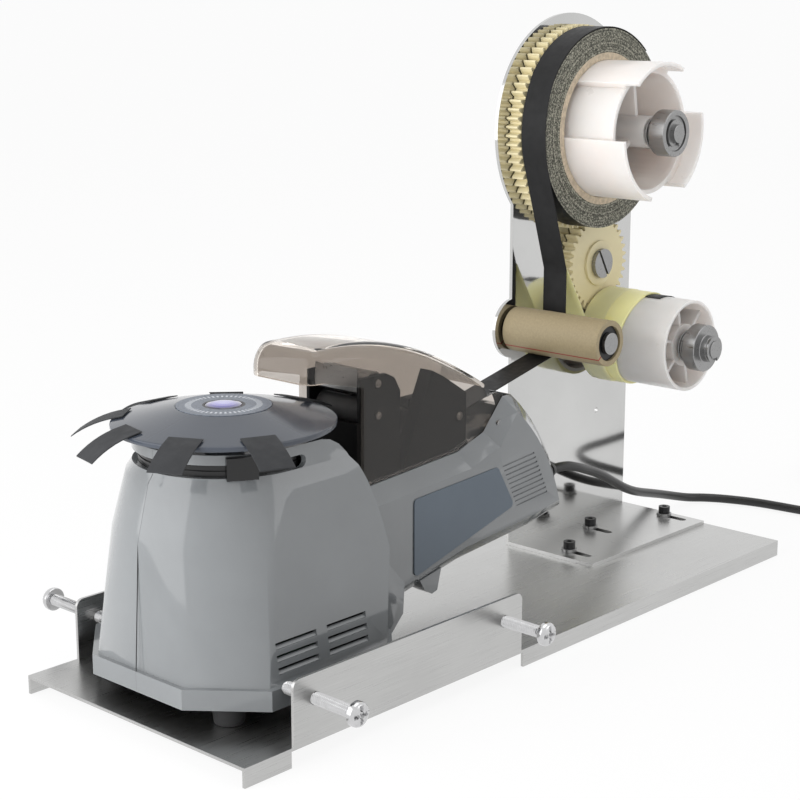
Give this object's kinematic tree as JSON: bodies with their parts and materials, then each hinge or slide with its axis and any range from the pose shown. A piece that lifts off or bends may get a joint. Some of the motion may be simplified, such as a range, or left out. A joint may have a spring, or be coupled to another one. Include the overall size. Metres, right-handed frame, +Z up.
{
  "type": "electric tape dispenser",
  "caption": "Carousel tape dispenser with a smoked cover, clamped on a folded base plate and fed by a geared tape reel and liner rewind tower.",
  "frame": {"origin": "middle of the object's box without the mains lead, on the table", "axes": "+X along the base from the carousel to the tower, +Y away from the near side, +Z up"},
  "size_m": [0.6993, 0.2152, 0.3095],
  "materials": {
    "stainless": "brushed stainless sheet",
    "polished": "mirror-polished stainless sheet",
    "screw_chrome": "bright zinc",
    "black_steel": "black oxide",
    "steel": "turned steel",
    "body_grey": "glossy moulded",
    "panel_blue": "satin moulded",
    "black_plastic": "fine texture",
    "foot_rubber": "matt",
    "board_green": "solder resist",
    "motor_grey": "satin",
    "bronze": "sintered",
    "disc_blue": "fine texture",
    "ring_grey": "textured film",
    "lens_violet": "clear gloss",
    "tape_black": "adhesive tape",
    "smoked": "smoked clear plastic",
    "nylon": "cast nylon",
    "white_plastic": "glossy moulded",
    "card": "wound card",
    "foam_tape": "speckled foam edge",
    "liner": "waxed paper",
    "roller_tan": "phenolic tube",
    "cord_black": "matt lead",
    "rocker_red": "glossy moulded"
  },
  "bodies": {
    "stand": {"base_plate": "stainless", "body_shell_near": "body_grey", "body_shell_far": "body_grey", "bottom_pan": "black_plastic", "rubber_feet": "foot_rubber", "control_board": "board_green", "carousel_motor": "motor_grey", "shaft_bush": "bronze", "slot_lining": "black_plastic", "tape_sensor": "black_plastic", "side_panels": "panel_blue", "switch_body": "black_plastic", "hinge_pins": "steel", "feed_frame": "black_plastic", "guide_block": "black_plastic", "guide_pin": "steel", "feed_motor": "motor_grey", "tower_bracket": "polished", "foot_screws": "black_steel", "foot_washers": "screw_chrome", "reel_stud": "steel", "reel_spring": "black_steel", "reel_clip": "screw_chrome", "idler_screw": "steel", "rewind_stud": "steel", "rewind_spring": "black_steel", "rewind_clip": "screw_chrome", "roller_bolt": "steel", "tape_strand": "tape_black", "liner_strand": "liner", "cord": "cord_black", "cord_coil": "cord_black", "cord_end": "cord_black"},
    "carousel": {"carousel_disc": "disc_blue", "ring_insert": "ring_grey", "lens_cap": "lens_violet", "carousel_shaft": "steel", "tape_pieces": "tape_black"},
    "reel": {"reel_gear": "nylon", "reel_hub": "white_plastic", "tape_core": "card", "tape_roll": "foam_tape"},
    "idler": {"idler_gear": "nylon"},
    "rewind": {"rewind_gear": "nylon", "rewind_spool": "white_plastic", "liner_roll": "liner", "splice_patch": "tape_black"},
    "roller": {"guide_roller": "roller_tan", "roller_bearings": "steel"},
    "feed": {"feed_roller": "foot_rubber"},
    "pinch": {"pinch_roller": "steel"},
    "cover": {"smoked_cover": "smoked"},
    "cutter": {"cutter_blade": "steel"},
    "rocker": {"switch_rocker": "rocker_red"},
    "clamp_near_front": {"clamp_screw_near_front": "screw_chrome"},
    "clamp_near_rear": {"clamp_screw_near_rear": "screw_chrome"},
    "clamp_far_front": {"clamp_screw_far_front": "screw_chrome"},
    "clamp_far_rear": {"clamp_screw_far_rear": "screw_chrome"},
    "brake_knob": {"reel_knob": "steel"},
    "clutch_knob": {"rewind_knob": "steel"}
  },
  "joints": [
    {"name": "carousel_spin", "type": "hinge", "parent": "stand", "child": "carousel", "pos_m": [-0.14324, 0, 0.128], "axis": [0, 0, 1], "continuous": true},
    {"name": "reel_spin", "type": "hinge", "parent": "stand", "child": "reel", "pos_m": [0.14806, 0, 0.2463], "axis": [0, -1, 0], "continuous": true},
    {"name": "idler_spin", "type": "hinge", "parent": "stand", "child": "idler", "pos_m": [0.16784, 0, 0.16698], "axis": [0, -1, 0], "continuous": true},
    {"name": "rewind_spin", "type": "hinge", "parent": "stand", "child": "rewind", "pos_m": [0.17688, 0, 0.12443], "axis": [0, -1, 0], "continuous": true},
    {"name": "guide_roller_spin", "type": "hinge", "parent": "stand", "child": "roller", "pos_m": [0.10176, 0, 0.1365], "axis": [0, -1, 0], "continuous": true},
    {"name": "feed_roller_spin", "type": "hinge", "parent": "stand", "child": "feed", "pos_m": [-0.06124, 0, 0.123], "axis": [0, -1, 0], "continuous": true},
    {"name": "pinch_roller_spin", "type": "hinge", "parent": "stand", "child": "pinch", "pos_m": [-0.06124, 0, 0.1387], "axis": [0, -1, 0], "continuous": true},
    {"name": "cover_hinge", "type": "hinge", "parent": "stand", "child": "cover", "pos_m": [0.02176, 0, 0.105], "axis": [0, 1, 0], "range_deg": [0, 60]},
    {"name": "cutter_slide", "type": "slide", "parent": "stand", "child": "cutter", "axis": [0, 0, -1], "range_m": [0, 0.007]},
    {"name": "power_rocker", "type": "hinge", "parent": "stand", "child": "rocker", "pos_m": [-0.05924, 0.03, 0.066], "axis": [-1, 0, 0], "range_deg": [0, 16]},
    {"name": "clamp_near_front_slide", "type": "slide", "parent": "stand", "child": "clamp_near_front", "axis": [0, -1, 0], "range_m": [0, 0.012]},
    {"name": "clamp_near_rear_slide", "type": "slide", "parent": "stand", "child": "clamp_near_rear", "axis": [0, -1, 0], "range_m": [0, 0.012]},
    {"name": "clamp_far_front_slide", "type": "slide", "parent": "stand", "child": "clamp_far_front", "axis": [0, 1, 0], "range_m": [0, 0.012]},
    {"name": "clamp_far_rear_slide", "type": "slide", "parent": "stand", "child": "clamp_far_rear", "axis": [0, 1, 0], "range_m": [0, 0.012]},
    {"name": "brake_knob_turn", "type": "hinge", "parent": "stand", "child": "brake_knob", "pos_m": [0.14806, -0.037, 0.2463], "axis": [0, -1, 0], "range_deg": [-180, 180]},
    {"name": "clutch_knob_turn", "type": "hinge", "parent": "stand", "child": "clutch_knob", "pos_m": [0.17688, -0.045, 0.12443], "axis": [0, -1, 0], "range_deg": [-180, 180]}
  ],
  "couplings": [
    {"joint": "reel_spin", "follows": "feed_roller_spin", "ratio": 0.16304},
    {"joint": "idler_spin", "follows": "feed_roller_spin", "ratio": -0.34472},
    {"joint": "rewind_spin", "follows": "feed_roller_spin", "ratio": 0.52458},
    {"joint": "guide_roller_spin", "follows": "feed_roller_spin", "ratio": -0.72},
    {"joint": "pinch_roller_spin", "follows": "feed_roller_spin", "ratio": -1.6364}
  ]
}
